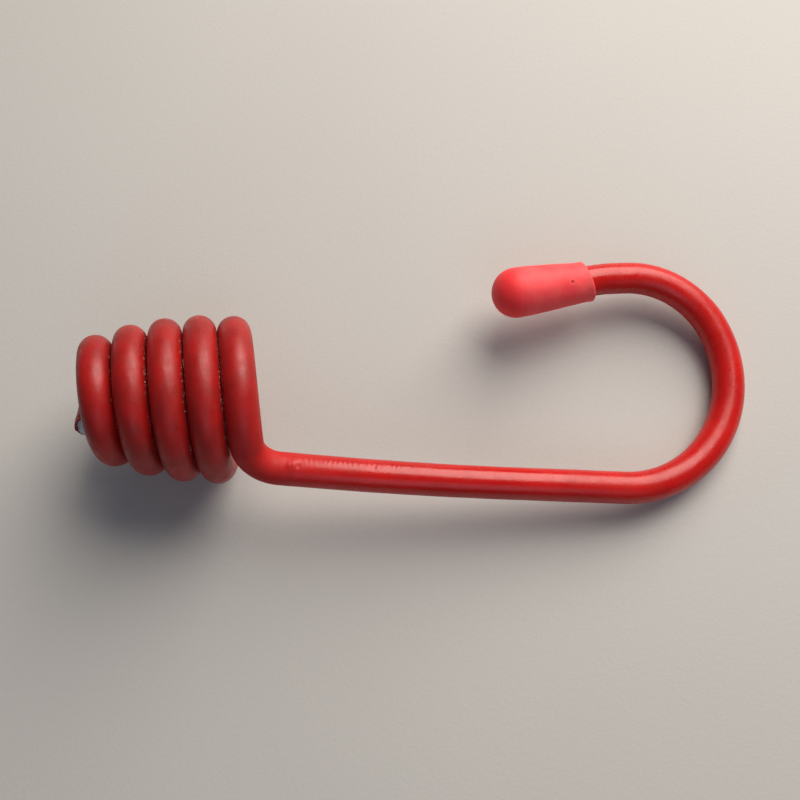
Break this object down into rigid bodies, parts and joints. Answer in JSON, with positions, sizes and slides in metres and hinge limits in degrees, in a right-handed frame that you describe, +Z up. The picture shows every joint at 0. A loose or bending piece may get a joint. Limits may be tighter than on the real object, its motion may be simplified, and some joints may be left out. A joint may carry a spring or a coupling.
{
  "type": "coil-ended cord hook",
  "caption": "Plastic-coated steel wire hook with a tapered coil socket that grips an elastic cord and a soft push-on cap on its tip.",
  "frame": {"origin": "centre of the bounding box at its bottom, the level of the floor that the hook lies on", "axes": "+X from the coil towards the hook's bowl, with the coil's axis in the XZ plane, +Y from the shank towards the capped tip, +Z up from the floor"},
  "size_m": [0.1056, 0.039, 0.0261],
  "materials": {
    "bare_steel": "cut end, dull grey",
    "red_coating": "satin red plastic coating",
    "soft_cap": "matte coral-red soft plastic"
  },
  "bodies": {
    "hook": {"hook_wire": "bare_steel", "wire_coating": "red_coating"},
    "cap": {"tip_cap": "soft_cap"}
  },
  "joints": [
    {"name": "cap_pull_off", "type": "slide", "parent": "hook", "child": "cap", "axis": [-0.9698, -0.1875, 0.1559], "range_m": [0, 0.015]}
  ]
}
